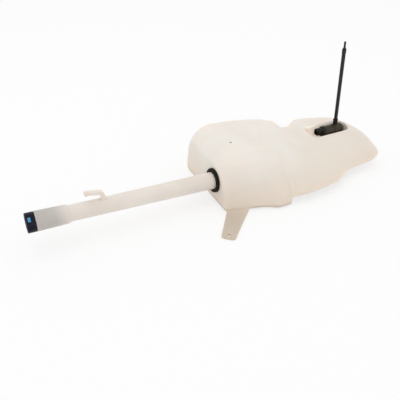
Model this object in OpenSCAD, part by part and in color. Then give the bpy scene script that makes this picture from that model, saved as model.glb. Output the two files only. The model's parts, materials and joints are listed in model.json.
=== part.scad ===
// Windscreen washer fluid reservoir, lying on its flat seat: a blown tank with a filler neck that
// plugs into its end, and an electric pump that lies in a trough of the tank, with its outlet pipe.
// The origin is the axis of the fixing hole in the tank's foot, on the seat plane.
// +X runs along the tank from the neck end to the nose, +Y to the back, +Z up.

/* [Tank] */
// Length of the blown tank, from the neck end to the nose
tank_l = 411; // [400:1:424]
// Wall of the blown tank
tank_wall = 3; // [2:0.25:4]
// Depth of the neck end, from the back line to the front edge
end_d = 178; // [172:1:190]
// Greatest depth of the belly
belly_d = 213; // [206:1:226]
// Depth of the pump lobe's front edge
lobe_d = 177; // [168:1:186]
// Length of the deep lobe's top
deep_l = 186; // [176:1:194]
// Height of the deep lobe
deep_h = 110; // [104:1:118]
// Distance from the neck end to the saddle between the lobes
saddle_x = 246; // [240:1:252]
// Height of the saddle
saddle_h = 70; // [64:1:73]
// Height of the pump lobe
lobe_h = 78; // [75:1:84]
// Distance from the neck end to the step where the belly leaves the seat plane
step_x = 137; // [125:1:145]
// Height of the pump lobe's front edge above the seat plane
lobe_rise = 19; // [14:1:26]
// Edge radius of the neck end
end_r = 6; // [5:1:10]
// Edge radius of the nose
nose_r = 13; // [10:1:18]
// Diameter of the vent hole in the deep lobe
vent_d = 3.6; // [2:0.2:5]
// Distance of the vent hole from the neck end
vent_x = 58; // [50:1:100]
// Distance of the vent hole from the back line
vent_y = 82; // [45:1:100]

/* [Foot] */
// Length of the foot from the tank's corner to its tip
foot_l = 86; // [70:1:100]
// Width of the foot at the tank
foot_root_w = 44; // [36:1:50]
// Width of the foot at its tip
foot_tip_w = 29; // [24:1:36]
// Thickness of the foot
foot_t = 5; // [4:0.5:7]
// Direction of the foot, seen from above
foot_turn = 229; // [220:1:240]
// Height of the web where the foot leaves the tank
foot_web_h = 9; // [7:1:20]
// Diameter of the fixing hole
fix_d = 6.6; // [5.5:0.1:9]
// Distance of the fixing hole from the foot's tip
fix_edge = 9.5; // [8:0.5:14]

/* [Filler neck] */
// Distance of the neck axis from the back line
neck_y = 119.4; // [110:0.2:126]
// Height of the neck axis at the tank
neck_z = 47; // [42:0.5:52]
// Rise of the neck towards the cap, in degrees
neck_rise = 2.7; // [0:0.1:5]
// Length of the neck from the tank to the cap's seat
neck_l = 363; // [330:1:400]
// Outer diameter of the filler tube at the tank
tube_root_d = 35.8; // [33:0.2:38]
// Outer diameter of the filler tube at the mouth
tube_end_d = 31.6; // [29:0.2:33]
// Wall of the filler tube
tube_wall = 2; // [1.5:0.1:2.5]
// Length of the tube inside the tank
tube_in_l = 24; // [16:1:36]
// Outer diameter of the mouth sleeve at its rear edge
sleeve_d = 36; // [35:0.2:38]
// Outer diameter of the mouth sleeve at the cap
sleeve_end_d = 38.2; // [37:0.2:41]
// Length of the mouth sleeve, from its rear edge to the cap's seat
sleeve_l = 60; // [50:1:75]
// Length of the tube's end inside the sleeve
plug_l = 26; // [18:1:34]
// Outer diameter of the grommet's flange
grommet_d = 51.6; // [48:0.2:56]
// Thickness of the grommet's flange
grommet_t = 6.5; // [4:0.5:9]
// Distance from the tank to the hook's stem
hook_x = 239; // [180:1:260]
// Height of the hook above the neck axis
hook_h = 31; // [29:1:40]
// Length of the hook's arm
hook_l = 29; // [24:1:40]
// Thickness of the hook
hook_t = 7; // [4:0.5:8]

/* [Cap] */
// Outer diameter of the cap
cap_d = 37.8; // [37:0.2:42]
// Length of the cap
cap_l = 16.5; // [15:0.5:22]
// Wall of the cap
cap_wall = 2.2; // [1.6:0.1:2.6]
// Length of the coloured mark along the cap
mark_l = 5; // [4:0.5:8]
// Angle that the coloured mark takes up on the skirt
mark_span = 26; // [15:1:60]

/* [Pump] */
// Diameter of the motor case
pump_d = 25.6; // [24.6:0.2:27]
// Distance of the connector's mouth from the tank's nose
pump_back = 113; // [109:1:117]
// Distance of the pump axis from the back line
pump_y = 66; // [63:0.5:70]
// Height of the pump axis at the connector's mouth
pump_z = 60.4; // [58:0.2:63]
// Dip of the pump's nose, in degrees
pump_dip = 1.5; // [0:0.1:3]
// Length of the connector
plug_socket_l = 15; // [13:0.5:18]
// Length of the motor case behind the connector
case_l = 31; // [29:0.5:36]
// Length of the impeller chamber
chamber_l = 14.5; // [13:0.5:18]
// Length of the inlet cover
cover_l = 17.4; // [16.5:0.1:20]
// Wall of the motor case
case_wall = 1.5; // [1.2:0.1:2]
// Diameter of the motor shaft
shaft_d = 2; // [1.6:0.1:2.4]
// Outer diameter of the inlet spigot
inlet_d = 12.4; // [11:0.2:13.4]
// Outer diameter of the outlet nipple
outlet_d = 6; // [5:0.2:6.6]

/* [Outlet pipe] */
// Outer diameter of the pipe
pipe_d = 8.3; // [7:0.1:9]
// Bore of the pipe
pipe_bore = 4.4; // [3.6:0.1:5]
// Lean of the pipe from square to the pump, toward the connector, in degrees
outlet_lean = 5.3; // [0:0.1:6]
// Distance of the pipe's top from the pump axis
pipe_top = 197; // [150:1:230]
// Outer diameter of the collar at the pipe's foot
collar_d = 11; // [10.2:0.2:13]
// Length of the pipe inside the collar
collar_grip = 6; // [4:0.5:10]
// Outer diameter of the hose tip
tip_d = 4.5; // [4:0.1:5]
// Length of the hose tip
tip_l = 15.5; // [10:0.5:20]

/* [Fits] */
// Clearance between pieces that are fixed together
fit = 0.1; // [0.05:0.05:0.15]
// Radial clearance of the shaft in its bushes
run_fit = 0.03; // [0.02:0.01:0.06]
// Clearance round what turns
air = 0.6; // [0.4:0.1:0.8]
// Clearance of the cap on the mouth
cap_fit = 0.3; // [0.25:0.05:0.4]

/* [Hidden] */
$fn = 64;

// Foot, whose root lies in from the neck end and out from the front edge
foot_in = 18.7;
foot_out = 9.4;
foot_root = [foot_in, -end_d - foot_out];
foot_dir = [cos(foot_turn), sin(foot_turn)];
foot_tail = 16;
foot_run = 44;
foot_steps = 10;
foot_root_r = 2;
foot_tip_r = 6;
fix_at = foot_root + (foot_l - fix_edge) * foot_dir;
vent_cut = 12;

// Filler neck, along its own axis from the tank's end face
tube_root_r = tube_root_d / 2;
tube_end_r = tube_end_d / 2;
bore_r = tube_end_r - tube_wall;
sleeve_r = sleeve_d / 2;
sleeve_from = neck_l - sleeve_l;
sleeve_edge = 1.2;
sleeve_end_r = sleeve_end_d / 2;
tube_to = sleeve_from + plug_l;
tube_root_l = 4;
taper_gap = 2;
grommet_wall = 3;
grommet_edge = 1.5;
lip_h = 2.4;
lip_l = 4;
neck_hole_r = tube_root_r + grommet_wall;
neck_cut = 6;
hook_w = 8;
hook_root = 2;
hook_stem_r = 5;
hook_lean = 4;
hook_up = 5;
hook_tip = 2.5;

// Cap
cap_r = cap_d / 2;
cap_in_r = cap_r - cap_wall;
cap_top = 2.4;
cap_edge = 1.2;
cap_from = neck_l + cap_fit;
cap_to = neck_l + cap_l;
dish_rim = 3;
dish_t = 0.8;
seal_t = 2.2;
rim_r = cap_in_r - cap_fit;
rim_to = cap_to - cap_top - fit - seal_t - cap_fit;
mark_t = 0.5;
mark_turn = -39;
mark_shift = 2;
mark_slack = fit / cap_r * 180 / PI;

// Pump, along its own axis from the connector's mouth
socket_h = 14;
socket_w = 15;
socket_rise = 2;
socket_r = 3;
socket_wall = 1.5;
socket_depth = plug_socket_l - 3;
latch_h = 1.6;
latch_w = 6;
latch_l = 5;
latch_from = 4;
blade_t = 0.8;
blade_w = 2.8;
blade_pitch = 7;
blade_from = 4;
case_r = pump_d / 2;
case_in_r = case_r - case_wall;
case_from = plug_socket_l;
case_end = case_from + 2.5;
case_to = case_from + case_l;
case_edge = 1.5;
rib_h = 0.7;
rib_l = 3;
rib_from = case_from + 5;
base_to = case_to + chamber_l;
base_r = case_r + 0.6;
cover_from = base_to + fit;
cover_to = cover_from + cover_l;
nose_round = 12;
chamber_wall = 3;
chamber_r = base_r - chamber_wall;
partition_t = 3.5;
register_t = 2.4;
register_wall = 2;
room_end = 4.5;
room_r = chamber_r - 2;
eye_r = 4;
eye_t = 1.6;

// Motor and impeller
shaft_r = shaft_d / 2;
bush_r = shaft_r + 2;
plate_from = case_end + 0.5;
plate_to = plate_from + 2;
bush_proud = 1.1;
can_r = case_in_r - fit - 0.1;
can_wall = 0.8;
can_from = plate_to + fit;
can_to = case_to - 3;
boss_l = 2.6;
boss_wall = 1.2;
magnet_r = can_r - can_wall - 0.05;
magnet_t = 1.6;
magnet_span = 140;
magnet_over = 1;
core_r = magnet_r - magnet_t - air;
commutator_r = shaft_r + 1.6;
commutator_l = 5;
commutator_from = plate_to + 1.5;
slit_w = 0.4;
slit_d = 0.8;
core_from = commutator_from + commutator_l + 2.5;
core_to = can_to - 4.5;
pole_count = 5;
coil_r = 1.7;
coil_at = core_r - coil_r - 0.7;
coil_end = 1.2;
slot_w = 1.2;
brush_w = 2.4;
brush_l = 3.6;
brush_gap = 0.3;
brush_from = commutator_from + 0.3;
holder_gap = 0.8;
holder_wall = 0.8;
holder_l = 4;
seal_r = shaft_r + 3.5;
shaft_seal_l = 2.4;
shaft_seal_from = case_to + 0.3;
shaft_from = plate_from + 0.4;
impeller_r = chamber_r - 1.4;
impeller_from = case_to + partition_t + air;
impeller_to = base_to - air - 1;
impeller_disc = 1.2;
hub_r = shaft_r + 1.6;
shaft_to = impeller_to - 0.6;
vane_count = 6;
vane_t = 0.9;
vane_in = 0.4;
vane_r = impeller_r / 2 + 0.1;

// Trough and inlet, measured down from the pump axis
inlet_at = cover_from + cover_l * 0.42;
spigot_from = room_r + 0.8;
inlet_wall = 2;
flange_t = 1.9;
flange_r = inlet_d / 2 + 4.6;
trough_floor = base_r + fit + flange_t + fit;
trough_gap = 7;
trough_end = 3;
trough_r = 7;
trough_edge = 3;
trough_half_w = base_r + 2;
trough_top = 24;
trough_front = trough_half_w + 7;
trough_back = trough_half_w + 7;
trough_back_end = trough_half_w;
trough_ramp = 31;
trough_run = 4;
slab = 0.1;
inlet_hole_r = inlet_d / 2 + 3.2;
inlet_lip_h = 1;
inlet_lip_l = 3;
inlet_under = trough_floor + tank_wall;
inlet_reach = inlet_under + 8;
strainer_from = inlet_under + inlet_lip_l + 0.8;
strainer_to = inlet_reach + 14;
strainer_wall = 1.2;
strainer_bar = 2;
slot_count = 8;

// Outlet, measured up from the pump axis
outlet_at = case_to + partition_t + (chamber_l - partition_t) / 2;
outlet_r = outlet_d / 2;
outlet_wall = 1.2;
outlet_boss_r = 5.4;
collar_r = collar_d / 2;
collar_seat = base_r + 0.8;
collar_edge = 0.8;
nipple_to = collar_seat + 7;
pipe_r = pipe_d / 2;
pipe_from = nipple_to + 2 * fit;
collar_to = pipe_from + collar_grip;
bead_h = 0.45;
bead_l = 11;
tip_r = tip_d / 2;
tip_plug_l = 12;
tip_flange_r = tip_r + 1.1;
tip_flange_t = 1.6;
tip_edge = 0.6;
tip_bore_r = 1.2;

// Tank sections: each table gives a corner's place against the distance from the neck end
back_line = [
    [0, 18], [50, 18], [deep_l, 2], [saddle_x, -4], [tank_l - 116, -2], [tank_l - 24, -50],
    [tank_l - 10, -78], [tank_l, -100]
];
top_line = [
    [0, 8], [16, 20], [50, 26], [115, 21], [deep_l, 5], [saddle_x - 22, 2], [saddle_x + 14, 0],
    [saddle_x + 30, 11], [tank_l - 116, 10], [tank_l - 68, -8], [tank_l - 44, -18], [tank_l - 26, -43],
    [tank_l - 12, -86], [tank_l, -112]
];
top_rise = [
    [0, deep_h - 26], [16, deep_h - 9], [50, deep_h], [115, deep_h - 3], [deep_l - 4, deep_h - 6],
    [deep_l + 4, deep_h - 12], [deep_l + 22, deep_h - 13], [saddle_x - 18, saddle_h],
    [saddle_x + 14, saddle_h], [saddle_x + 26, lobe_h], [tank_l - 60, lobe_h + 2], [tank_l - 26, lobe_h - 2],
    [tank_l - 10, lobe_h - 14], [tank_l, lobe_h - 26]
];
ridge_line = [
    [0, 30 - end_d], [40, 24 - end_d], [84, 24 - end_d], [120, 38 - end_d], [150, 34 - end_d],
    [180, 48 - end_d], [saddle_x, -104], [tank_l - 120, -96], [tank_l - 40, -96], [tank_l - 14, -106],
    [tank_l, -128]
];
ridge_rise = [
    [0, deep_h - 30], [18, deep_h - 17], [40, deep_h - 11], [120, deep_h - 11], [150, deep_h - 22],
    [178, lobe_h], [saddle_x, lobe_h - 14], [saddle_x + 40, lobe_h - 19], [tank_l - 36, lobe_h - 19],
    [tank_l - 14, lobe_h - 18], [tank_l, lobe_h - 22]
];
front_line = [
    [0, -end_d - 2], [48, -end_d - 14], [84, 10 - belly_d], [104, -belly_d - 4], [step_x - 2, -belly_d - 4],
    [step_x + 5, 2 - belly_d], [step_x + 34, -belly_d - 8], [207, -belly_d - 6], [258, -belly_d],
    [280, -lobe_d - 27], [300, -lobe_d - 12], [322, -lobe_d - 5], [tank_l - 32, -lobe_d - 6],
    [tank_l - 10, -lobe_d - 1], [tank_l, 6 - lobe_d]
];
front_rise = [
    [0, 7], [step_x - 2, 7], [step_x + 4, lobe_rise - 4], [step_x + 34, lobe_rise],
    [tank_l - 90, lobe_rise + 1], [tank_l - 30, lobe_rise + 6], [tank_l - 12, lobe_rise + 14],
    [tank_l, lobe_rise + 22]
];
under_line = [
    [0, 6 - end_d], [48, -end_d - 6], [84, 18 - belly_d], [104, 4 - belly_d], [step_x - 2, 4 - belly_d],
    [step_x + 4, 50 - belly_d], [tank_l - 108, 55 - lobe_d], [tank_l - 30, 60 - lobe_d], [tank_l, 50 - lobe_d]
];
blend = 5;
corner_cut = [16, 9, 13, 36, 34];
outer_points = 7;
inner_points = 4;
outer_pitch = 8;
inner_pitch = 14;
lean_l = 60;

function unit(v) = v / norm(v);
// A table's value with its bends rounded off over the blend length
function eased(x, table) =
    (lookup(x - 2 * blend, table) + 2 * lookup(x - blend, table) + 3 * lookup(x, table)
    + 2 * lookup(x + blend, table) + lookup(x + 2 * blend, table)) / 9;
// Section corners, as back and height: back foot, seat edge, front edge, ridge, back top
function section(x) = [
    [eased(x, back_line), 0], [lookup(x, under_line), 0], [eased(x, front_line), lookup(x, front_rise)],
    [eased(x, ridge_line), eased(x, ridge_rise)], [eased(x, top_line), eased(x, top_rise)]
];
function turned(v) = [v[1], -v[0]];
function pulled_in(c, d) = [for (i = [0:len(c) - 1])
    let (n = len(c), before = turned(unit(c[i] - c[(i + n - 1) % n])),
        after = turned(unit(c[(i + 1) % n] - c[i])))
    c[i] + d * (before + after) / (1 + before * after)];
// One rounded corner b between its neighbours a and c
function on_edge(b, a, cut) = b + min(cut, 0.48 * norm(a - b)) * unit(a - b);
function bend(a, b, c, cut, points) = let (p = on_edge(b, a, cut), r = on_edge(b, c, cut))
    [for (i = [0:points - 1]) let (k = i / (points - 1))
        (1 - k) * (1 - k) * p + 2 * k * (1 - k) * b + k * k * r];
// Leans the neck end square to the neck axis, fading out along the tank
function lean(x, z) = x + (z - neck_z) * tan(neck_rise) * max(0, 1 - x / lean_l);
function ring(x, d, points) = let (c = pulled_in(section(x), d), n = len(c))
    [for (i = [0:n - 1])
        for (p = bend(c[(i + n - 1) % n], c[i], c[(i + 1) % n], corner_cut[i] - d / 2, points))
            [lean(x, p[1]), p[0], p[1]]];
// How far a rounded end draws the section in, at a distance t from that end
function end_draw(t, r) = t >= r ? 0 : r - sqrt(r * r - (r - t) * (r - t));
function stations(skin, pitch) = let (from = skin, to = tank_l - skin, r0 = end_r - skin, r1 = nose_r - skin)
    concat([for (a = [0:30:60]) from + r0 * (1 - cos(a))],
        [for (x = [from + r0:pitch:step_x - 8]) x],
        [step_x - 2, step_x + 1, step_x + 4],
        [for (x = [step_x + 12:pitch:to - r1 - 1]) x],
        [for (a = [90:-22.5:0]) to - r1 * (1 - cos(a))]);
// A lofted body whose surface lies skin inside the tank's outer one
module loft(skin, pitch, points) {
    xs = stations(skin, pitch);
    rings = [for (x = xs) ring(x, skin + end_draw(x - skin, end_r - skin)
        + end_draw(tank_l - skin - x, nose_r - skin), points)];
    m = len(rings[0]);
    last = len(xs) - 1;
    polyhedron([for (r = rings) for (p = r) p], concat(
        [[for (j = [0:m - 1]) m - 1 - j], [for (j = [0:m - 1]) last * m + j]],
        [for (i = [0:last - 1]) for (j = [0:m - 1])
            let (a = i * m + j, b = i * m + (j + 1) % m, c = a + m, d = b + m)
            each [[a, b, d], [a, d, c]]]), convexity = 8);
}

// Places a child that is drawn from the tank's back foot of the neck end
module at_tank() translate([-fix_at[0], -fix_at[1], 0]) children();
// Places a child that is drawn along the neck axis, with its own +X up
module at_neck() at_tank() translate([0, -neck_y, neck_z]) rotate([0, neck_rise - 90, 0]) children();
// Places a child that is drawn along the pump axis, with its own +X up
module at_pump() at_tank() translate([tank_l - pump_back, -pump_y, pump_z])
    rotate([0, 90 + pump_dip, 0]) rotate(180) children();
// Points a child that is drawn along +Z up or down from the pump axis
module pump_up(at) translate([0, 0, at]) rotate([0, 90, 0]) children();
module pump_down(at) translate([0, 0, at]) rotate([0, -90, 0]) children();
// Points a child that is drawn along +Z out along the leaning outlet
module up_outlet() translate([0, 0, outlet_at]) rotate([0, 90 + outlet_lean, 0]) children();

module tube(r_out, r_in, from, to) translate([0, 0, from]) difference() {
    cylinder(r = r_out, h = to - from);
    translate([0, 0, -1]) cylinder(r = r_in, h = to - from + 2);
}
module limb(a, b, r_a, r_b) hull() {
    translate(a) circle(r = r_a, $fn = 32);
    translate(b) circle(r = r_b, $fn = 32);
}
function arc(centre, r, from, to, steps) = [for (i = [0:steps])
    let (a = from + (to - from) * i / steps) centre + r * [cos(a), sin(a)]];
module rounded_rect(h, w, r) polygon([for (i = [0:3])
    let (c = [(i == 0 || i == 3) ? h / 2 - r : r - h / 2, i < 2 ? w / 2 - r : r - w / 2])
    each arc(c, r, 90 * i, 90 * i + 90, 6)]);

// Tank
module foot_plan() hull() for (side = [-1, 1]) {
    translate([-foot_tail, side * (foot_root_w / 2 - foot_root_r)]) circle(r = foot_root_r, $fn = 32);
    translate([foot_l - foot_tip_r, side * (foot_tip_w / 2 - foot_tip_r)]) circle(r = foot_tip_r, $fn = 48);
}
// The foot's flat and the hollow curve by which the tank's corner runs out into it
module foot() translate(foot_root) rotate(foot_turn) intersection() {
    linear_extrude(foot_web_h) foot_plan();
    translate([0, foot_root_w, 0]) rotate([90, 0, 0]) linear_extrude(2 * foot_root_w) polygon(concat(
        [[-foot_tail - 3, 0], [foot_l + 1, 0], [foot_l + 1, foot_t]],
        [for (i = [0:foot_steps]) let (k = i / foot_steps)
            [foot_run - k * (foot_run + foot_tail), foot_t + (foot_web_h - foot_t) * k * k]],
        [[-foot_tail - 3, foot_web_h]]));
}
// One level of the trough, as four discs that reach left, right, front and back, grown by a skin
module trough_level(at, left, right, front, back, back_end, skin) translate([0, 0, at]) linear_extrude(slab)
    for (c = [[left - trough_r, front - trough_r], [trough_r - right, front - trough_r],
            [left - trough_r, trough_r - back], [trough_r - right, trough_r - back_end]])
        translate(c) circle(r = trough_r + skin, $fn = 24);
// The trough that the pump lies in, with a ramp for the plug in front of the connector
module trough(skin) pump_up(0) hull() {
    right = cover_to + trough_end;
    low = -trough_floor - skin;
    flat_w = trough_half_w - trough_edge;
    trough_level(low, trough_gap - trough_edge, right - trough_edge, flat_w, flat_w, flat_w, skin);
    trough_level(low + trough_edge, trough_gap, right, trough_half_w, trough_half_w, trough_half_w, skin);
    trough_level(trough_top, trough_gap + trough_ramp, right + trough_run, trough_front, trough_back,
        trough_back_end, skin);
}
module tank() color([0.93, 0.91, 0.87]) difference() {
    union() {
        at_tank() loft(0, outer_pitch, outer_points);
        at_tank() foot();
    }
    difference() {
        at_tank() loft(tank_wall, inner_pitch, inner_points);
        at_pump() trough(tank_wall);
    }
    at_pump() trough(0);
    at_neck() translate([0, 0, -tank_wall - neck_cut])
        cylinder(r = neck_hole_r, h = tank_wall + 2 * neck_cut);
    at_pump() pump_down(inlet_at) translate([0, 0, trough_floor - 1])
        cylinder(r = inlet_hole_r, h = tank_wall + 2);
    translate([0, 0, -1]) cylinder(d = fix_d, h = foot_web_h);
    at_tank() translate([vent_x, -vent_y, deep_h - vent_cut]) cylinder(d = vent_d, h = 2 * vent_cut);
}

// Filler neck
module neck_grommet() color([0.14, 0.13, 0.11]) at_neck() rotate_extrude() {
    inner = tube_root_r + fit;
    hole = neck_hole_r - fit;
    flange = grommet_d / 2;
    behind = -tank_wall - fit;
    polygon([
        [inner, behind - lip_l], [hole + lip_h / 2, behind - lip_l], [hole + lip_h, behind - lip_l / 2],
        [hole + lip_h, behind], [hole, behind], [hole, fit], [flange, fit],
        [flange, grommet_t - grommet_edge], [flange - grommet_edge, grommet_t],
        [inner + grommet_edge, grommet_t], [inner, grommet_t - grommet_edge]
    ]);
}
// The tube, and the moulded hook for the vehicle's clip: a stem, an arm and a tip that turns down
module filler_tube() color([0.88, 0.86, 0.83]) at_neck() {
    straight = grommet_t + tube_root_l;
    taper_to = sleeve_from - taper_gap;
    rotate_extrude() polygon([
        [tube_root_r - tube_wall, -tube_in_l], [tube_root_r, -tube_in_l], [tube_root_r, straight],
        [tube_end_r, taper_to], [tube_end_r, tube_to], [bore_r, tube_to], [bore_r, taper_to],
        [tube_root_r - tube_wall, straight]
    ]);
    r = hook_t / 2;
    knee = [hook_h, hook_x];
    arm_end = [hook_h + hook_up, hook_x + hook_l];
    translate([0, hook_w / 2, 0]) rotate([90, 0, 0]) linear_extrude(hook_w) {
        limb([tube_end_r + hook_root, hook_x - hook_lean], knee, hook_stem_r, r);
        limb(knee, arm_end, r, r);
        limb(arm_end, arm_end - [hook_tip, 0], r, 0.9 * r);
    }
}
module mouth_sleeve() color([0.75, 0.73, 0.7]) at_neck() rotate_extrude() {
    socket = tube_end_r + fit;
    stop_at = tube_to + fit;
    polygon([
        [socket, sleeve_from], [sleeve_r - sleeve_edge, sleeve_from], [sleeve_r, sleeve_from + sleeve_edge],
        [sleeve_end_r, neck_l - sleeve_edge], [sleeve_end_r - sleeve_edge, neck_l], [rim_r, neck_l],
        [rim_r, rim_to], [bore_r, rim_to], [bore_r, stop_at],
        [socket, stop_at]
    ]);
}

// Cap
module cap_patch(depth, length, span) rotate(mark_turn - span / 2) rotate_extrude(angle = span)
    translate([cap_r - depth, (cap_from + cap_to - length) / 2 + mark_shift]) square([2 * depth, length]);
module filler_cap() color([0.14, 0.14, 0.19]) at_neck() difference() {
    rotate_extrude() polygon([
        [cap_in_r, cap_from], [cap_r, cap_from], [cap_r, cap_to - cap_edge], [cap_r - cap_edge, cap_to],
        [cap_in_r - dish_rim, cap_to], [cap_in_r - dish_rim - dish_t, cap_to - dish_t], [0, cap_to - dish_t],
        [0, cap_to - cap_top], [cap_in_r, cap_to - cap_top]
    ]);
    cap_patch(mark_t + fit, mark_l + 2 * fit, mark_span + 2 * mark_slack);
}
module cap_mark() color([0.37, 0.57, 0.67]) at_neck() intersection() {
    cap_patch(mark_t, mark_l, mark_span);
    translate([0, 0, cap_from]) cylinder(r = cap_r, h = cap_l);
}
module cap_seal() color([0.2, 0.2, 0.2]) at_neck()
    tube(rim_r, bore_r, rim_to + cap_fit, rim_to + cap_fit + seal_t);

// Pump case and its electrical side
module blades(grow, from, to) for (side = [-1, 1])
    translate([socket_rise - blade_w / 2 - grow, side * blade_pitch / 2 - blade_t / 2 - grow, from])
        cube([blade_w + 2 * grow, blade_t + 2 * grow, to - from]);
module pump_case() color([0.13, 0.12, 0.11]) at_pump() difference() {
    union() {
        rotate_extrude() polygon([
            [0, case_from], [case_r - case_edge, case_from], [case_r, case_from + case_edge],
            [case_r, case_to], [case_in_r, case_to], [case_in_r, case_end], [0, case_end]
        ]);
        tube(case_r + rib_h, case_r - case_wall / 2, rib_from, rib_from + rib_l);
        translate([socket_rise, 0, 0]) linear_extrude(case_from + case_edge / 2)
            rounded_rect(socket_h, socket_w, socket_r);
        translate([socket_rise + socket_h / 2 - socket_wall / 2, -latch_w / 2, latch_from])
            cube([latch_h + socket_wall / 2, latch_w, latch_l]);
    }
    translate([socket_rise, 0, -1]) linear_extrude(socket_depth + 1)
        rounded_rect(socket_h - 2 * socket_wall, socket_w - 2 * socket_wall, socket_r - socket_wall / 2);
    blades(fit, socket_depth - 1, case_end + 1);
}
module terminals() color([0.8, 0.78, 0.72]) at_pump() blades(0, blade_from, plate_from - fit);
module brush_plate() color([0.45, 0.3, 0.18]) at_pump() difference() {
    half_w = brush_w / 2 + fit;
    from_y = commutator_r + holder_gap;
    union() {
        tube(can_r, bush_r + fit, plate_from, plate_to);
        for (side = [0, 180]) rotate(side)
            translate([-half_w - holder_wall, from_y, plate_from])
                cube([2 * (half_w + holder_wall), holder_l, brush_from + brush_w - plate_from]);
    }
    translate([-half_w, -can_r, brush_from - fit]) cube([2 * half_w, 2 * can_r, 2 * brush_w]);
}
module brushes() color([0.2, 0.19, 0.19]) at_pump() for (side = [0, 180]) rotate(side)
    translate([-brush_w / 2, commutator_r + brush_gap, brush_from]) cube([brush_w, brush_l, brush_w]);

// Motor
module rear_bush() color([0.7, 0.55, 0.3]) at_pump()
    tube(bush_r, shaft_r + run_fit, plate_from, plate_to + bush_proud);
module motor_can() color([0.62, 0.63, 0.64]) at_pump() rotate_extrude() {
    inner = can_r - can_wall;
    hole = bush_r + fit;
    polygon([
        [inner, can_from], [can_r, can_from], [can_r, can_to], [hole, can_to], [hole, can_to - boss_l],
        [hole + boss_wall, can_to - boss_l], [hole + boss_wall, can_to - can_wall], [inner, can_to - can_wall]
    ]);
}
module field_magnets() color([0.28, 0.28, 0.3]) at_pump() for (side = [0, 180])
    rotate(side - magnet_span / 2) rotate_extrude(angle = magnet_span)
        translate([magnet_r - magnet_t, core_from - magnet_over])
            square([magnet_t, core_to - core_from + 2 * magnet_over]);
module front_bush() color([0.7, 0.55, 0.3]) at_pump()
    tube(bush_r, shaft_r + run_fit, can_to - boss_l, can_to + bush_proud);
module motor_shaft() color([0.75, 0.76, 0.78]) at_pump()
    translate([0, 0, shaft_from]) cylinder(r = shaft_r, h = shaft_to - shaft_from);
module armature_core() color([0.5, 0.5, 0.52]) at_pump() difference() {
    tube(core_r, shaft_r + fit, core_from, core_to);
    for (i = [0:pole_count - 1]) rotate(i * 360 / pole_count) translate([coil_at, 0, core_from - 1]) {
        cylinder(r = coil_r + fit, h = core_to - core_from + 2);
        translate([0, -slot_w / 2, 0]) cube([core_r, slot_w, core_to - core_from + 2]);
    }
}
module armature_windings() color([0.72, 0.38, 0.2]) at_pump() {
    for (i = [0:pole_count - 1]) rotate(i * 360 / pole_count)
        translate([coil_at, 0, core_from - coil_end / 2])
            cylinder(r = coil_r, h = core_to - core_from + coil_end);
    for (from = [core_from - coil_end, core_to + fit])
        tube(coil_at + coil_r / 2, coil_at - coil_r / 2, from, from + coil_end - fit);
}
module commutator() color([0.75, 0.48, 0.28]) at_pump() difference() {
    tube(commutator_r, shaft_r + fit, commutator_from, commutator_from + commutator_l);
    for (i = [0:pole_count - 1]) rotate((i + 0.5) * 360 / pole_count)
        translate([commutator_r - slit_d, -slit_w / 2, commutator_from - 1])
            cube([2 * slit_d, slit_w, commutator_l + 2]);
}

// Pump end
module shaft_seal() color([0.1, 0.1, 0.1]) at_pump()
    tube(seal_r, shaft_r + run_fit, shaft_seal_from, shaft_seal_from + shaft_seal_l);
module vane() intersection() {
    difference() {
        translate([vane_r, 0]) circle(r = vane_r + vane_t / 2);
        translate([vane_r, 0]) circle(r = vane_r - vane_t / 2);
        translate([-vane_r, -3 * vane_r]) square([4 * vane_r, 3 * vane_r]);
    }
    circle(r = impeller_r - vane_in);
}
module impeller() color([0.85, 0.84, 0.8]) at_pump() difference() {
    translate([0, 0, impeller_from]) {
        cylinder(r = hub_r, h = impeller_to - impeller_from);
        cylinder(r = impeller_r, h = impeller_disc);
        for (i = [0:vane_count - 1]) rotate(i * 360 / vane_count) translate([0, 0, impeller_disc / 2])
            linear_extrude(impeller_to - impeller_from - impeller_disc) vane();
    }
    translate([0, 0, impeller_from - 1]) cylinder(r = shaft_r + fit, h = shaft_to + fit - impeller_from + 1);
}
module pump_base() color([0.15, 0.14, 0.12]) at_pump() difference() {
    way_r = shaft_r + air;
    seat_r = seal_r + fit;
    seat_to = shaft_seal_from + shaft_seal_l + fit;
    face = case_to + fit;
    back = case_to - register_t;
    register_r = case_in_r - fit;
    inner_r = register_r - register_wall;
    union() {
        rotate_extrude() polygon([
            [way_r, seat_to], [seat_r, seat_to], [seat_r, face], [inner_r, face], [inner_r, back],
            [register_r, back], [register_r, face], [base_r, face], [base_r, base_to], [chamber_r, base_to],
            [chamber_r, case_to + partition_t], [way_r, case_to + partition_t]
        ]);
        up_outlet() translate([0, 0, base_r - chamber_wall / 2]) {
            cylinder(r = outlet_boss_r, h = collar_seat - base_r + chamber_wall / 2);
            cylinder(r = outlet_r, h = nipple_to - base_r + chamber_wall / 2);
        }
    }
    up_outlet() translate([0, 0, chamber_r / 2])
        cylinder(r = outlet_r - outlet_wall, h = nipple_to - chamber_r / 2 + 1);
}
module inlet_cover() color([0.13, 0.12, 0.11]) at_pump() difference() {
    room_to = cover_to - room_end;
    union() {
        rotate_extrude() polygon(concat(
            [[0, room_to], [room_r, room_to], [room_r, cover_from + eye_t], [eye_r, cover_from + eye_t],
                [eye_r, cover_from], [base_r, cover_from]],
            arc([base_r - nose_round, cover_to - nose_round], nose_round, 0, 90, 8), [[0, cover_to]]));
        pump_down(inlet_at) translate([0, 0, spigot_from])
            cylinder(r = inlet_d / 2, h = inlet_reach - spigot_from);
    }
    pump_down(inlet_at) translate([0, 0, room_r / 2])
        cylinder(r = inlet_d / 2 - inlet_wall, h = inlet_reach - room_r / 2 + 1);
}
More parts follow.
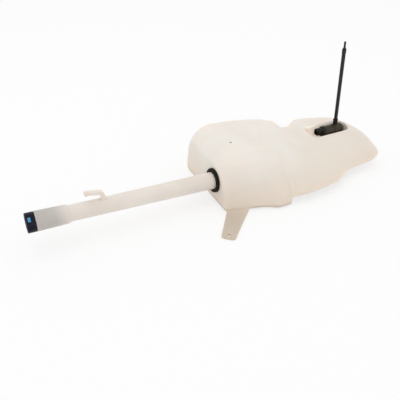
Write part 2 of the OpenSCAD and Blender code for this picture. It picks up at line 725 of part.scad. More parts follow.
module pump_grommet() color([0.1, 0.1, 0.1]) at_pump() pump_down(inlet_at) rotate_extrude() {
    inner = inlet_d / 2 + fit;
    hole = inlet_hole_r - fit;
    under = inlet_under + fit;
    polygon([
        [inner, base_r + fit], [flange_r, base_r + fit], [flange_r, trough_floor - fit],
        [hole, trough_floor - fit], [hole, under], [hole + inlet_lip_h, under],
        [hole + inlet_lip_h, under + inlet_lip_l / 2], [hole, inlet_under + inlet_lip_l],
        [inner, inlet_under + inlet_lip_l]
    ]);
}
module inlet_strainer() color([0.85, 0.85, 0.82]) at_pump() pump_down(inlet_at) difference() {
    inner = inlet_d / 2 + fit;
    translate([0, 0, strainer_from]) cylinder(r = inner + strainer_wall, h = strainer_to - strainer_from);
    translate([0, 0, strainer_from - 1])
        cylinder(r = inner, h = strainer_to - strainer_from - strainer_wall + 1);
    for (i = [0:slot_count - 1]) rotate(i * 360 / slot_count)
        translate([inner / 2, -strainer_bar / 2, inlet_reach + strainer_bar])
            cube([inner, strainer_bar, strainer_to - inlet_reach - 2 * strainer_bar]);
}

// Outlet
module pipe_collar() color([0.08, 0.08, 0.08]) at_pump() up_outlet() rotate_extrude() {
    step = (nipple_to + pipe_from) / 2;
    foot = collar_seat + fit;
    polygon([
        [outlet_r + fit, foot], [collar_r - collar_edge, foot], [collar_r, foot + collar_edge],
        [collar_r, collar_to - collar_edge], [collar_r - collar_edge, collar_to], [pipe_r + fit, collar_to],
        [pipe_r + fit, step], [outlet_r + fit, step]
    ]);
}
module outlet_pipe() color([0.1, 0.09, 0.09]) at_pump() up_outlet() rotate_extrude() polygon([
    [pipe_bore / 2, pipe_from], [pipe_r, pipe_from], [pipe_r, pipe_top - bead_l],
    [pipe_r + bead_h, pipe_top - bead_l + 4 * bead_h], [pipe_r + bead_h, pipe_top - 2 * bead_h],
    [pipe_r - bead_h, pipe_top], [pipe_bore / 2, pipe_top]
]);
module hose_tip() color([0.06, 0.06, 0.06]) at_pump() up_outlet() rotate_extrude() {
    plug_r = pipe_bore / 2 - fit;
    seat = pipe_top + fit;
    end = pipe_top + tip_l;
    polygon([
        [tip_bore_r, pipe_top - tip_plug_l], [plug_r, pipe_top - tip_plug_l], [plug_r, seat],
        [tip_flange_r, seat], [tip_flange_r, seat + tip_flange_t], [tip_r, seat + tip_flange_t],
        [tip_r, end - tip_edge], [tip_r - tip_edge, end], [tip_bore_r, end]
    ]);
}

tank();
neck_grommet();
filler_tube();
mouth_sleeve();
filler_cap();
cap_mark();
cap_seal();
pump_case();
terminals();
brush_plate();
brushes();
rear_bush();
motor_can();
field_magnets();
front_bush();
motor_shaft();
armature_core();
armature_windings();
commutator();
shaft_seal();
impeller();
pump_base();
inlet_cover();
pump_grommet();
inlet_strainer();
pipe_collar();
outlet_pipe();
hose_tip();
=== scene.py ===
"""Looks of a windscreen washer fluid reservoir: moulded skins, finishes, stage, light, camera."""

import json
import logging
import math
from dataclasses import dataclass
from enum import Enum

import bpy
from bpy.types import Material, Node, NodeSocket, NodeTree, Object
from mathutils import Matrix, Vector


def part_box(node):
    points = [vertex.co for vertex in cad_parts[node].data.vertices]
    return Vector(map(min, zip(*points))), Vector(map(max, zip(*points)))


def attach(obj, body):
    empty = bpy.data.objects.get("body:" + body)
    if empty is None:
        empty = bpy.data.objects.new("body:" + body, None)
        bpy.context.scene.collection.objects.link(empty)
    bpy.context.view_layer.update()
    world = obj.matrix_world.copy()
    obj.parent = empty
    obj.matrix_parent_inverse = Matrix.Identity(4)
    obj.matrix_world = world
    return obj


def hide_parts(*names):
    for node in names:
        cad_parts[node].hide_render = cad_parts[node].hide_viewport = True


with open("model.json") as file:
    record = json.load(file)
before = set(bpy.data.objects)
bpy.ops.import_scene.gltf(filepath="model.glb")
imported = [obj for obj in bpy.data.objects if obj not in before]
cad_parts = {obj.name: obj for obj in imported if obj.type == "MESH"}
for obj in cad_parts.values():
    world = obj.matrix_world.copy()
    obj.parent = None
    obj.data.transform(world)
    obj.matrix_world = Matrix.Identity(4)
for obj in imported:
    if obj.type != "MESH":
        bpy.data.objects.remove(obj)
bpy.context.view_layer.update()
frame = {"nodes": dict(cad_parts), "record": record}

LOG = logging.getLogger("reservoir")
MM = 0.001
MERGE_WITHIN = 0.005 * MM
SHARP_ANGLE = math.radians(32)
EDGE_STEPS = 2
SCREEN_STEPS = 255
SCREEN_KNEE = 0.04045
SCREEN_SLOPE = 12.92
SCREEN_LIFT = 0.055
SCREEN_POWER = 2.4
WHITE = (1.0, 1.0, 1.0, 1.0)
BLACK = (0.0, 0.0, 0.0)
ACROSS_X = (0.0, 1.0, 1.0)
Colour = tuple[float, float, float]
Point = tuple[float, float, float]


class Body(Enum):
    """The rigid bodies that new pieces ride on."""

    RESERVOIR = "reservoir"
    CAP = "cap"


class Edge(Enum):
    """How round a moulded edge is, as a radius in metres."""

    CRISP = 0.25 * MM
    EASED = 0.5 * MM
    ROUND = 0.9 * MM
    PLUMP = 1.4 * MM


def shown(red: int, green: int, blue: int) -> Colour:
    """Gives the surface colour that shows as a given tone under a plain light.

    Args:
        red: Red on the screen, 0 to 255.
        green: Green on the screen, 0 to 255.
        blue: Blue on the screen, 0 to 255.

    Returns:
        The same colour as linear values.
    """

    def linear(value: int) -> float:
        """Undoes the screen's curve for one channel.

        Args:
            value: The channel on the screen.

        Returns:
            Its linear value, 0 to 1.
        """
        share = value / SCREEN_STEPS
        if share <= SCREEN_KNEE:
            return share / SCREEN_SLOPE
        return ((share + SCREEN_LIFT) / (1 + SCREEN_LIFT)) ** SCREEN_POWER

    return linear(red), linear(green), linear(blue)


def only(piece: Object) -> None:
    """Selects one object alone and makes it the active one.

    Args:
        piece: The object.
    """
    bpy.ops.object.select_all(action="DESELECT")
    piece.select_set(True)
    bpy.context.view_layer.objects.active = piece


def apply_modifier(piece: Object, name: str, kind: str, **settings: object) -> None:
    """Adds one modifier to a piece and applies it.

    Args:
        piece: The mesh object.
        name: The modifier's name.
        kind: Blender's name of the modifier.
        settings: The modifier's own settings.
    """
    only(piece)
    modifier = piece.modifiers.new(name, kind)
    for key, value in settings.items():
        setattr(modifier, key, value)
    bpy.ops.object.modifier_apply(modifier=modifier.name)


def merged_copy(node: str, name: str) -> Object:
    """Copies a CAD node into a piece of its own, with its triangles joined.

    Args:
        node: The node's name.
        name: The new piece's name.

    Returns:
        The new object, at the origin.
    """
    source: Object = frame["nodes"][node]
    piece = bpy.data.objects.new(name, source.data.copy())
    bpy.context.scene.collection.objects.link(piece)
    only(piece)
    bpy.ops.mesh.customdata_custom_splitnormals_clear()
    bpy.ops.object.mode_set(mode="EDIT")
    bpy.ops.mesh.select_all(action="SELECT")
    bpy.ops.mesh.remove_doubles(threshold=MERGE_WITHIN)
    bpy.ops.object.mode_set(mode="OBJECT")
    return piece


def smooth(piece: Object) -> None:
    """Shades a piece smooth, apart from its sharp edges."""
    only(piece)
    bpy.ops.object.shade_smooth_by_angle(angle=SHARP_ANGLE)


def moulded(node: str, name: str, edge: Edge) -> Object:
    """Makes the shown skin of a rigid node, with its sharp edges rounded as a mould leaves them.

    Args:
        node: The node's name.
        name: The new piece's name.
        edge: How round its edges are.

    Returns:
        The new piece.
    """
    piece = merged_copy(node, name)
    apply_modifier(piece, "edges", "BEVEL", width=edge.value, segments=EDGE_STEPS,
                   limit_method="ANGLE", angle_limit=SHARP_ANGLE, use_clamp_overlap=True)
    smooth(piece)
    return piece


@dataclass
class NodeBench:
    """Adds and joins the nodes of one shader tree."""

    MIX_COLOURS_IN = (6, 7)
    MIX_COLOUR_OUT = 2

    tree: NodeTree

    def add(self, kind: str, inputs: dict[str, object] | None = None, **settings: object) -> Node:
        """Adds one node.

        Args:
            kind: Blender's name of the node.
            inputs: Values for its input sockets, by name.
            settings: The node's own settings.

        Returns:
            The new node.
        """
        node = self.tree.nodes.new(kind)
        for key, value in settings.items():
            setattr(node, key, value)
        for key, value in (inputs or {}).items():
            node.inputs[key].default_value = value
        return node

    def join(self, source: NodeSocket, target: NodeSocket) -> None:
        """Links one socket to another."""
        self.tree.links.new(source, target)

    def place_on_object(self, scale: Point = (1, 1, 1), shift: Point = (0, 0, 0)) -> NodeSocket:
        """Gives the place on the piece, in metres, stretched and shifted.

        Args:
            scale: Stretch along each axis.
            shift: Point of the piece that becomes the pattern's origin.

        Returns:
            A vector socket.
        """
        coordinates = self.add("ShaderNodeTexCoord")
        moved = self.add("ShaderNodeVectorMath", operation="SUBTRACT")
        moved.inputs[1].default_value = shift
        sized = self.add("ShaderNodeVectorMath", operation="MULTIPLY")
        sized.inputs[1].default_value = scale
        self.join(coordinates.outputs["Object"], moved.inputs[0])
        self.join(moved.outputs[0], sized.inputs[0])
        return sized.outputs[0]

    def noise(self, vector: NodeSocket, scale: float | NodeSocket, detail: float) -> NodeSocket:
        """Adds a noise pattern.

        Args:
            vector: Where the pattern is read.
            scale: Patches to a metre, as a number or a socket.
            detail: How much finer noise is laid on it.

        Returns:
            The pattern's value.
        """
        node = self.add("ShaderNodeTexNoise", {"Detail": detail})
        self.join(vector, node.inputs["Vector"])
        if isinstance(scale, NodeSocket):
            self.join(scale, node.inputs["Scale"])
        else:
            node.inputs["Scale"].default_value = scale
        return node.outputs[0]

    def spread(self, value: NodeSocket, low: float, high: float, to_low: float = 0.0,
               to_high: float = 1.0) -> NodeSocket:
        """Maps one range of a value to another, and clamps it there.

        Args:
            value: The value.
            low: Start of its range.
            high: End of its range.
            to_low: What low becomes.
            to_high: What high becomes.

        Returns:
            The mapped value.
        """
        node = self.add("ShaderNodeMapRange", {"From Min": low, "From Max": high, "To Min": to_low,
                                               "To Max": to_high}, clamp=True)
        self.join(value, node.inputs["Value"])
        return node.outputs[0]

    def fall(self, value: NodeSocket, full: float, none: float) -> NodeSocket:
        """Gives 1 as far as one value and falls to 0 at another."""
        return self.spread(value, full, none, 1.0, 0.0)

    def math(self, operation: str, first: NodeSocket, second: NodeSocket | float) -> NodeSocket:
        """Works out one sum of two values.

        Args:
            operation: Blender's name of the sum.
            first: The first value.
            second: The second, as a socket or a number.

        Returns:
            The result.
        """
        node = self.add("ShaderNodeMath", operation=operation)
        self.join(first, node.inputs[0])
        if isinstance(second, NodeSocket):
            self.join(second, node.inputs[1])
        else:
            node.inputs[1].default_value = second
        return node.outputs[0]

    def tint(self, share: NodeSocket, first: NodeSocket | Colour,
             second: NodeSocket | Colour) -> NodeSocket:
        """Mixes two colours.

        Args:
            share: How much of the second colour shows.
            first: The first colour, as a socket or linear values.
            second: The second colour.

        Returns:
            The mixed colour.
        """
        node = self.add("ShaderNodeMix", data_type="RGBA")
        self.join(share, node.inputs[0])
        for colour, index in zip((first, second), self.MIX_COLOURS_IN):
            if isinstance(colour, NodeSocket):
                self.join(colour, node.inputs[index])
            else:
                node.inputs[index].default_value = (*colour, 1.0)
        return node.outputs[self.MIX_COLOUR_OUT]

    def blend(self, share: NodeSocket, first: NodeSocket, second: NodeSocket) -> NodeSocket:
        """Mixes two shaders.

        Args:
            share: How much of the second shader shows.
            first: The first shader.
            second: The second shader.

        Returns:
            The mixed shader.
        """
        node = self.add("ShaderNodeMixShader")
        for source, target in zip((share, first, second), node.inputs):
            self.join(source, target)
        return node.outputs[0]


class SharedEffects:
    """Shader groups that more than one finish uses, each built once."""

    GRAIN = "moulded_grain"
    CLOUD = "resin_cloud"
    RUBS = "rub_marks"
    FINE_SHARE = 0.3
    PEEL_SHARE = 0.7
    PEEL_RANGE = (0.3, 0.7)
    CLOUD_RANGE = (0.35, 0.65)
    RUB_STRETCH = (0.12, 1.0, 1.0)
    RUB_RANGE = (0.6, 0.72)
    PATCHES = 18.0
    PATCH_RANGE = (0.5, 0.62)

    @staticmethod
    def start(name: str, inputs: dict[str, float],
              outputs: list[str]) -> tuple[NodeBench, Node, Node]:
        """Starts one group with named value sockets.

        Args:
            name: The group's name.
            inputs: Input names with their first values.
            outputs: Output names.

        Returns:
            The bench on the group, its input node and its output node.
        """
        tree = bpy.data.node_groups.new(name, "ShaderNodeTree")
        kind = "NodeSocketFloat"
        for key, value in inputs.items():
            socket = tree.interface.new_socket(name=key, in_out="INPUT", socket_type=kind)
            socket.default_value = value
        for key in outputs:
            tree.interface.new_socket(name=key, in_out="OUTPUT", socket_type=kind)
        bench = NodeBench(tree)
        return bench, bench.add("NodeGroupInput"), bench.add("NodeGroupOutput")

    @classmethod
    def build(cls) -> None:
        """Builds the grain, cloud and rub groups."""
        bench, given, out = cls.start(cls.GRAIN, {"Fine": 900.0, "Peel": 140.0},
                                      ["Height", "Tone"])
        spot = bench.place_on_object()
        fine = bench.noise(spot, given.outputs["Fine"], detail=2.0)
        peel = bench.noise(spot, given.outputs["Peel"], detail=1.0)
        height = bench.math("ADD", bench.math("MULTIPLY", fine, cls.FINE_SHARE),
                            bench.math("MULTIPLY", peel, cls.PEEL_SHARE))
        bench.join(height, out.inputs["Height"])
        bench.join(bench.spread(peel, *cls.PEEL_RANGE), out.inputs["Tone"])

        bench, given, out = cls.start(cls.CLOUD, {"Scale": 14.0}, ["Cloud"])
        broad = bench.noise(bench.place_on_object(), given.outputs["Scale"], detail=3.0)
        bench.join(bench.spread(broad, *cls.CLOUD_RANGE), out.inputs["Cloud"])

        bench, given, out = cls.start(cls.RUBS, {"Scale": 60.0}, ["Mask"])
        stretched = bench.place_on_object(cls.RUB_STRETCH)
        along = bench.noise(stretched, given.outputs["Scale"], detail=4.0)
        patch = bench.noise(bench.place_on_object(), cls.PATCHES, detail=1.0)
        mask = bench.math("MULTIPLY", bench.spread(along, *cls.RUB_RANGE),
                          bench.spread(patch, *cls.PATCH_RANGE))
        bench.join(mask, out.inputs["Mask"])


@dataclass(frozen=True)
class Finish:
    """One finish: two tones that cloud into each other, a moulded grain and rubbed spots."""

    name: str
    slot: str
    tone: Colour
    second: Colour
    roughness: float
    swing: float = 0.06
    metallic: float = 0.0
    fine: float = 900.0
    peel: float = 140.0
    bump: float = 0.12
    cloud: float = 14.0
    rubs: float = 0.25
    rub_tone: Colour = (0.6, 0.6, 0.6)
    rub_dulling: float = 0.3
    bump_depth: float = 0.4 * MM
    subsurface: float = 0.0
    scatter: float = 4 * MM
    scatter_shares: Colour = (1.0, 0.8, 0.6)
    specular: float = 0.5
    ior: float = 1.5

    def group(self, bench: NodeBench, name: str, **inputs: float) -> Node:
        """Places a shared effect with this finish's own values.

        Args:
            bench: The material's nodes.
            name: The effect's name.
            inputs: Values for its input sockets, by name in lower case.

        Returns:
            The effect's node.
        """
        node = bench.add("ShaderNodeGroup", node_tree=bpy.data.node_groups[name])
        for key, value in inputs.items():
            node.inputs[key.capitalize()].default_value = value
        return node

    def colour(self, bench: NodeBench) -> NodeSocket:
        """Mixes the finish's colour.

        Args:
            bench: The material's nodes.

        Returns:
            The colour over the surface.
        """
        cloud = self.group(bench, SharedEffects.CLOUD, scale=self.cloud)
        return bench.tint(cloud.outputs["Cloud"], self.tone, self.second)

    def painted_glow(self, bench: NodeBench) -> NodeSocket | None:
        """Gives painted light, an emission that makes the piece glow.

        Args:
            bench: The material's nodes.

        Returns:
            The painted light's colour over the surface, or nothing where nothing glows.
        """
        return None

    def material(self) -> Material:
        """Builds the finish as a material, once.

        Returns:
            The material.
        """
        if self.name in bpy.data.materials:
            return bpy.data.materials[self.name]
        material = bpy.data.materials.new(self.name)
        material.use_nodes = True
        material.node_tree.nodes.clear()
        bench = NodeBench(material.node_tree)
        out = bench.add("ShaderNodeOutputMaterial")
        surface = bench.add("ShaderNodeBsdfPrincipled", {
            "Metallic": self.metallic, "IOR": self.ior, "Specular IOR Level": self.specular,
            "Subsurface Weight": self.subsurface})
        if self.subsurface:
            surface.inputs["Subsurface Scale"].default_value = self.scatter
            surface.inputs["Subsurface Radius"].default_value = self.scatter_shares
        bench.join(surface.outputs["BSDF"], out.inputs["Surface"])
        grain = self.group(bench, SharedEffects.GRAIN, fine=self.fine, peel=self.peel)
        rubs = self.group(bench, SharedEffects.RUBS)
        rubbed = bench.math("MULTIPLY", rubs.outputs["Mask"], self.rubs)
        tone = bench.tint(rubbed, self.colour(bench), self.rub_tone)
        bench.join(tone, surface.inputs["Base Color"])
        rough = bench.spread(grain.outputs["Tone"], 0.0, 1.0, self.roughness - self.swing,
                             self.roughness + self.swing)
        dulled = bench.math("MULTIPLY", rubbed, self.rub_dulling)
        bench.join(bench.math("ADD", rough, dulled), surface.inputs["Roughness"])
        bump = bench.add("ShaderNodeBump", {"Strength": self.bump, "Distance": self.bump_depth})
        bench.join(grain.outputs["Height"], bump.inputs["Height"])
        bench.join(bump.outputs["Normal"], surface.inputs["Normal"])
        # Painted light: an emission where the finish glows.
        painted_glow = self.painted_glow(bench)
        if painted_glow:
            surface.inputs["Emission Strength"].default_value = 1.0
            bench.join(painted_glow, surface.inputs["Emission Color"])
        return material


@dataclass(frozen=True)
class BlownResin(Finish):
    """Milky blown resin: painted shade low down and in a hole, painted light in a hollow."""

    # Painted shade: the darker, warmer tone that the resin turns toward the floor.
    low_shade_tone: Colour = (0.6, 0.52, 0.43)
    low_to: float = 45 * MM
    # Painted shade: the darker tone near the floor, at the foot.
    foot_shade_tone: Colour = (0.6, 0.52, 0.43)
    foot_to: float = 0.0
    foot_full: float = 0.5
    # Painted shade: the dark inside the vent hole.
    hole_at: Point = (0.0, 0.0, 0.0)
    hole_r: float = 0.0
    hole_fade: float = 1.25
    hole_stretch: Point = (1, 1, 0.1)
    hole_shade_tone: Colour = (0.05, 0.05, 0.055)
    # Painted light: the emission that makes a hollow glow.
    painted_light_tone: Colour = (0.26, 0.225, 0.195)
    glow_at: Point = (0.0, 0.0, 0.0)
    glow_from: float = 0.0
    glow_to: float = 0.0
    glow_reach: float = 0.0
    glow_full: float = 0.75
    glow_ease: float = 0.5
    glow_rim: float = 11 * MM
    rim_full: float = 0.7
    glow_stop: float = 2 * MM
    glow_side: float = 13 * MM
    glow_narrow: float = 0.08

    def colour(self, bench: NodeBench) -> NodeSocket:
        """Adds painted shade: warmer and darker low down and at the foot, dark in an upright hole.

        Args:
            bench: The material's nodes.

        Returns:
            The colour over the surface.
        """
        mixed = super().colour(bench)
        spot = bench.add("ShaderNodeSeparateXYZ")
        bench.join(bench.place_on_object(), spot.inputs[0])
        # Painted shade: darker and warmer toward the floor, up to low_to.
        low = bench.fall(spot.outputs["Z"], 0.0, self.low_to)
        mixed = bench.tint(low, mixed, self.low_shade_tone)
        # Painted shade: darker near the floor, below foot_to.
        if self.foot_to:
            full = self.foot_full * self.foot_to
            foot_shade = bench.fall(spot.outputs["Z"], full, self.foot_to)
            mixed = bench.tint(foot_shade, mixed, self.foot_shade_tone)
        # Painted shade: the inside of the hole darkened.
        if self.hole_r:
            away = bench.add("ShaderNodeVectorMath", operation="LENGTH")
            bench.join(bench.place_on_object(self.hole_stretch, self.hole_at), away.inputs[0])
            fade = self.hole_fade * self.hole_r
            hole_shade = bench.fall(away.outputs["Value"], self.hole_r, fade)
            mixed = bench.tint(hole_shade, mixed, self.hole_shade_tone)
        return mixed

    def painted_glow(self, bench: NodeBench) -> NodeSocket | None:
        """Paints light into a hollow along X, as an emission out to a reach round its axis and
        below its rim.

        Args:
            bench: The material's nodes.

        Returns:
            The painted light's colour, or nothing for a piece without such a hollow.
        """
        if not self.glow_reach:
            return None
        spot = bench.add("ShaderNodeSeparateXYZ")
        bench.join(bench.place_on_object(shift=self.glow_at), spot.inputs[0])
        away = bench.add("ShaderNodeVectorMath", operation="LENGTH")
        bench.join(bench.place_on_object(ACROSS_X, self.glow_at), away.inputs[0])
        slant = bench.math("MULTIPLY", spot.outputs["X"], self.glow_narrow)
        aside = bench.math("ADD", spot.outputs["Y"], slant)
        lit_from = self.glow_from + self.glow_ease * self.glow_reach
        core = self.glow_full * self.glow_reach
        share = bench.fall(away.outputs["Value"], core, self.glow_reach)
        masks = [bench.spread(spot.outputs["X"], self.glow_from, lit_from)]
        for value, full, none in (
                (spot.outputs["X"], self.glow_to, self.glow_to + self.glow_stop),
                (aside, self.glow_side, self.glow_side + self.glow_stop),
                (spot.outputs["Z"], self.rim_full * self.glow_rim, self.glow_rim)):
            masks.append(bench.fall(value, full, none))
        for mask in masks:
            share = bench.math("MULTIPLY", share, mask)
        return bench.tint(share, BLACK, self.painted_light_tone)


@dataclass(frozen=True)
class GradedResin(Finish):
    """Moulded resin whose tone changes toward one end of the piece, along X."""

    end_tone: Colour = (0.01, 0.01, 0.01)
    end_from: float = 0.0
    end_to: float = 0.0

    def colour(self, bench: NodeBench) -> NodeSocket:
        """Adds the end's tone to the clouded tone.

        Args:
            bench: The material's nodes.

        Returns:
            The colour over the surface.
        """
        mixed = super().colour(bench)
        along = bench.add("ShaderNodeSeparateXYZ")
        bench.join(bench.place_on_object(), along.inputs[0])
        share = bench.fall(along.outputs["X"], self.end_from, self.end_to)
        return bench.tint(share, mixed, self.end_tone)


def place(piece: Object, body: Body, finish: Finish, *nodes: str) -> None:
    """Gives a piece its body and its finish, and hides the nodes that it stands for.

    Args:
        piece: The finished mesh.
        body: The body that it rides on.
        finish: Its finish.
        nodes: The CAD nodes that it stands for.
    """
    piece.data.materials.clear()
    piece.data.materials.append(finish.material())
    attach(piece, body.value)
    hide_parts(*nodes)
    LOG.info("%s: %d faces, on %s", piece.name, len(piece.data.polygons), body.value)


@dataclass
class Tank:
    """The blown tank with its foot and trough, softened all over as blowing leaves it."""

    cell: float = 0.9 * MM
    rounds: int = 20
    pull: float = 0.5
    target_faces: int = 180_000
    vent_at: tuple[float, float] = (89.5 * MM, 163.1 * MM)
    vent_r: float = 1.8 * MM
    # Where the painted light in the trough starts and how far back it sits.
    glow_lead: float = 20 * MM
    glow_back: float = 8 * MM

    def finish(self) -> Finish:
        """Gives the milky resin of the tank.

        Returns:
            The finish, with painted shade in the vent and low down, and painted light in the
            trough.
        """
        low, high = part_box("pump_case")
        _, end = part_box("inlet_cover")
        _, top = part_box("tank")
        axis = (low.x, 0.5 * (low.y + high.y) + self.glow_back, 0.5 * (low.z + high.z))
        return BlownResin(
            "milky_tank", "tank_plastic", shown(239, 231, 223), shown(236, 226, 217),
            roughness=0.42, subsurface=1.0, rubs=0.08, bump=0.08,
            # Painted shade: darker and warmer low down.
            low_shade_tone=shown(228, 214, 198), low_to=78 * MM,
            # Painted shade: darker still at the foot near the floor.
            foot_shade_tone=shown(205, 192, 176), foot_to=11 * MM,
            # Painted shade in the vent hole.
            hole_at=(*self.vent_at, top.z), hole_r=self.vent_r,
            # Painted light: an emission that makes the trough glow.
            glow_at=axis, glow_from=-self.glow_lead, glow_to=end.x - low.x, glow_reach=26 * MM)

    def build(self) -> None:
        """Remeshes the tank's solid into one soft skin and dresses it."""
        piece = merged_copy("tank", "tank_shell")
        apply_modifier(piece, "skin", "REMESH", mode="VOXEL", voxel_size=self.cell)
        apply_modifier(piece, "soften", "SMOOTH", factor=self.pull, iterations=self.rounds)
        triangles = 2 * len(piece.data.polygons)
        share = self.target_faces / triangles
        apply_modifier(piece, "thin", "DECIMATE", ratio=min(1.0, share))
        only(piece)
        bpy.ops.object.shade_smooth()
        place(piece, Body.RESERVOIR, self.finish(), "tank")


@dataclass
class FillerNeck:
    """The filler tube with its hook, the mouth sleeve and the rubber ring at the tank."""

    tube: Finish = BlownResin(
        "milky_tube", "tube_plastic", shown(234, 225, 216), shown(228, 217, 207),
        roughness=0.4, subsurface=0.4, rubs=0.1, bump=0.08,
        # Painted shade: darker and warmer low down.
        low_shade_tone=shown(224, 212, 201), low_to=20 * MM)
    rubber: Finish = Finish(
        "ring_rubber", "black_rubber", shown(36, 32, 23), shown(27, 24, 16),
        roughness=0.62, fine=1500, peel=260, bump=0.2, rubs=0.2, rub_tone=shown(52, 48, 38),
        specular=0.2, ior=1.3)
    fade_l: float = 26 * MM

    def sleeve(self) -> Finish:
        """Gives the grey resin of the sleeve.

        Returns:
            The finish, which fades into the tube's tone at the sleeve's rear.
        """
        _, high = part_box("mouth_sleeve")
        return GradedResin(
            "grey_sleeve", "sleeve_plastic", shown(196, 190, 185), shown(184, 177, 171),
            roughness=0.45, subsurface=0.15, rubs=0.1, bump=0.08,
            end_tone=shown(226, 216, 208), end_from=high.x, end_to=high.x - self.fade_l)

    def build(self) -> None:
        """Makes and dresses the neck's pieces."""
        for node, name, edge, finish in (
                ("filler_tube", "tube_skin", Edge.ROUND, self.tube),
                ("mouth_sleeve", "sleeve_skin", Edge.EASED, self.sleeve()),
                ("neck_grommet", "grommet_ring", Edge.PLUMP, self.rubber)):
            place(moulded(node, name, edge), Body.RESERVOIR, finish, node)


@dataclass
class FillerCap:
    """The push-on cap with its coloured field and seal."""

    navy: Finish = Finish(
        "navy_cap", "cap_plastic", shown(27, 24, 41), shown(21, 19, 34),
        roughness=0.3, bump=0.06, rubs=0.2, rub_tone=shown(66, 68, 82), specular=0.25, ior=1.3)
    blue: Finish = Finish(
        "blue_field", "mark_plastic", shown(66, 152, 198), shown(56, 140, 188),
        roughness=0.3, bump=0.05, rubs=0.1)
    seal: Finish = Finish(
        "seal_rubber", "black_rubber", shown(48, 48, 48), shown(38, 38, 38),
        roughness=0.65, bump=0.2)

    def build(self) -> None:
        """Makes and dresses the cap's pieces."""
        for node, name, edge, finish in (
                ("filler_cap", "cap_skin", Edge.EASED, self.navy),
                ("cap_mark", "cap_field", Edge.CRISP, self.blue),
                ("cap_seal", "cap_seal_ring", Edge.CRISP, self.seal)):
            place(moulded(node, name, edge), Body.CAP, finish, node)


@dataclass
class WasherPump:
    """The pump's outside: case with connector, chamber, end cover and inlet rubber."""

    black_l: float = 24 * MM
    black_full: float = 0.6
    rubber: Finish = Finish(
        "inlet_rubber", "black_rubber", shown(40, 38, 34), shown(32, 30, 26),
        roughness=0.65, bump=0.25)

    def finish(self) -> Finish:
        """Gives the dark resin of the pump.

        Returns:
            The finish, which turns black toward the connector.
        """
        low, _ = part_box("pump_case")
        return GradedResin(
            "pump_black", "pump_plastic", shown(57, 49, 36), shown(43, 36, 26),
            roughness=0.4, fine=1400, peel=300, bump=0.2, rubs=0.3, rub_tone=shown(96, 89, 78),
            specular=0.25, end_tone=shown(15, 12, 8),
            end_from=low.x + self.black_full * self.black_l, end_to=low.x + self.black_l)

    def build(self) -> None:
        """Makes and dresses the pump's outer pieces."""
        resin = self.finish()
        for node, name, finish in (
                ("pump_case", "pump_case_skin", resin),
                ("pump_base", "pump_base_skin", resin),
                ("inlet_cover", "inlet_cover_skin", resin),
                ("pump_grommet", "inlet_ring", self.rubber)):
            place(moulded(node, name, Edge.EASED), Body.RESERVOIR, finish, node)


@dataclass
class OutletPipe:
    """The stiff outlet pipe, the collar at its foot and the thin hose tip."""

    pipe: Finish = Finish(
        "pipe_black", "pipe_plastic", shown(29, 25, 24), shown(22, 19, 18),
        roughness=0.34, fine=1200, peel=90, bump=0.08, rubs=0.3, rub_tone=shown(76, 68, 66),
        specular=0.35)
    rubber: Finish = Finish(
        "collar_rubber", "black_rubber", shown(24, 22, 18), shown(17, 16, 13),
        roughness=0.6, bump=0.2, specular=0.2)

    def build(self) -> None:
        """Makes and dresses the pipe's pieces."""
        for node, name, edge, finish in (
                ("outlet_pipe", "pipe_skin", Edge.EASED, self.pipe),
                ("hose_tip", "tip_skin", Edge.CRISP, self.pipe),
                ("pipe_collar", "collar_skin", Edge.EASED, self.rubber)):
            place(moulded(node, name, edge), Body.RESERVOIR, finish, node)


@dataclass
class PumpMotor:
    """What the pump holds inside, left as the solids are, with real finishes."""

    finishes: tuple[Finish, ...] = (
        Finish("zinc_steel", "steel", shown(190, 192, 194), shown(176, 178, 182),
               roughness=0.34, metallic=1.0, bump=0.06),
        Finish("sintered_bronze", "bronze", shown(200, 162, 104), shown(184, 144, 90),
               roughness=0.4, metallic=1.0),
        Finish("copper_wire", "copper", shown(196, 120, 78), shown(178, 100, 60),
               roughness=0.36, metallic=1.0),
        Finish("tinned_blade", "tinned_brass", shown(216, 208, 184), shown(204, 196, 172),
               roughness=0.3, metallic=1.0),
        Finish("ground_ferrite", "ferrite", shown(84, 84, 88), shown(70, 70, 74), roughness=0.55),
        Finish("pressed_board", "board", shown(150, 112, 78), shown(134, 98, 66), roughness=0.6),
        Finish("pressed_carbon", "carbon", shown(58, 58, 58), shown(44, 44, 44), roughness=0.6),
        Finish("milk_acetal", "white_acetal", shown(232, 232, 226), shown(222, 222, 215),
               roughness=0.4, subsurface=0.1),
        Finish("shaft_rubber", "black_rubber", shown(40, 38, 34), shown(30, 29, 26),
               roughness=0.65),
    )

    def build(self) -> None:
        """Dresses every node that no other class has replaced."""
        by_slot = {finish.slot: finish for finish in self.finishes}
        slots = {row["node"]: row["material_slot"] for row in frame["record"]["subparts"]}
        for name, node in frame["nodes"].items():
            if node.hide_render:
                continue
            node.data.materials.clear()
            node.data.materials.append(by_slot[slots[name]].material())
            LOG.info("%s: dressed as %s", name, slots[name])


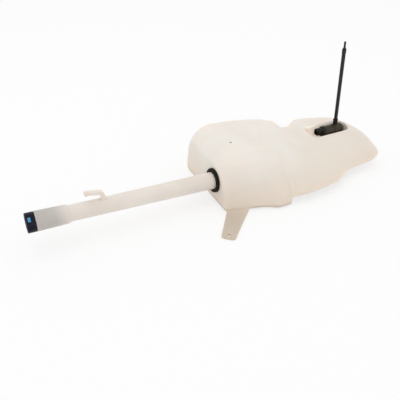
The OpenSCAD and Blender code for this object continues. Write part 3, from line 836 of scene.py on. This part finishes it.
@dataclass
class Studio:
    """The pale floor, the soft light and the camera."""

    floor_size: float = 12.0
    floor_tone: Colour = (0.95, 0.95, 0.95)
    floor_rough: float = 0.9
    floor_specular: float = 0.1
    floor_glow: float = 0.66
    sky: float = 0.93
    key_power: float = 5.0
    key_size: float = 1.8
    key_at: Point = (-0.35, 0.25, 2.1)
    key_aim: Point = (0.1, 0.15, 0.0)
    eye: Point = (-0.3645, -0.6193, 0.6124)
    look_down: float = 53.8
    look_round: float = -26.0
    lens: float = 43.83
    sensor: float = 36.0
    near: float = 10 * MM

    @staticmethod
    def seen(bench: NodeBench) -> NodeSocket:
        """Tells the rays that show the background from those that only light the object.

        Args:
            bench: The nodes of the floor or the world.

        Returns:
            1 for a ray from the camera, a reflection or a pane, else 0.
        """
        rays = bench.add("ShaderNodeLightPath").outputs
        mirrored = bench.math("MAXIMUM", rays["Is Glossy Ray"], rays["Is Transmission Ray"])
        return bench.math("MAXIMUM", rays["Is Camera Ray"], mirrored)

    def build_floor(self) -> None:
        """Lays the floor on the seat plane, partly white to the camera for a soft shadow."""
        bpy.ops.object.select_all(action="DESELECT")
        bpy.ops.mesh.primitive_plane_add(size=self.floor_size, location=(0, 0, 0))
        floor = bpy.context.object
        floor.name = "studio_floor"
        material = bpy.data.materials.new("studio_white")
        material.use_nodes = True
        bench = NodeBench(material.node_tree)
        surface = material.node_tree.nodes["Principled BSDF"]
        surface.inputs["Base Color"].default_value = (*self.floor_tone, 1.0)
        surface.inputs["Roughness"].default_value = self.floor_rough
        surface.inputs["Specular IOR Level"].default_value = self.floor_specular
        white = bench.add("ShaderNodeEmission", {"Color": WHITE, "Strength": 1.0})
        share = bench.math("MULTIPLY", self.seen(bench), self.floor_glow)
        mixed = bench.blend(share, surface.outputs["BSDF"], white.outputs[0])
        bench.join(mixed, material.node_tree.nodes["Material Output"].inputs["Surface"])
        floor.data.materials.append(material)

    def build_light(self) -> None:
        """Lights the object softly from above and from all round."""
        world = bpy.data.worlds.new("studio_world")
        bpy.context.scene.world = world
        world.use_nodes = True
        bench = NodeBench(world.node_tree)
        world.node_tree.nodes.clear()
        plain = bench.add("ShaderNodeBackground", {"Color": WHITE, "Strength": self.sky})
        white = bench.add("ShaderNodeBackground", {"Color": WHITE, "Strength": 1.0})
        out = bench.add("ShaderNodeOutputWorld")
        mixed = bench.blend(self.seen(bench), plain.outputs[0], white.outputs[0])
        bench.join(mixed, out.inputs["Surface"])
        bpy.ops.object.light_add(type="AREA", location=self.key_at)
        key = bpy.context.object
        key.name = "key_light"
        key.data.energy = self.key_power
        key.data.size = self.key_size
        ray = Vector(self.key_aim) - key.location
        key.rotation_euler = ray.to_track_quat("-Z", "Y").to_euler()

    def build_camera(self) -> None:
        """Stands the camera at the photograph's angle."""
        data = bpy.data.cameras.new("camera")
        camera = bpy.data.objects.new("camera", data)
        bpy.context.scene.collection.objects.link(camera)
        camera.location = self.eye
        camera.rotation_euler = (math.radians(self.look_down), 0.0, math.radians(self.look_round))
        data.lens = self.lens
        data.sensor_width = self.sensor
        data.clip_start = self.near
        bpy.context.scene.camera = camera

    def build(self) -> None:
        """Sets up the whole stage."""
        self.build_floor()
        self.build_light()
        self.build_camera()
        bpy.context.scene.view_settings.view_transform = "Standard"


def main() -> None:
    """Builds every sub-assembly, then the stage."""
    logging.basicConfig(level=logging.INFO, format="%(name)s: %(message)s")
    SharedEffects.build()
    for assembly in (Tank(), FillerNeck(), FillerCap(), WasherPump(), OutletPipe(), PumpMotor(),
                     Studio()):
        assembly.build()
        LOG.info("%s is built", type(assembly).__name__)


if __name__ == "__main__":
    main()
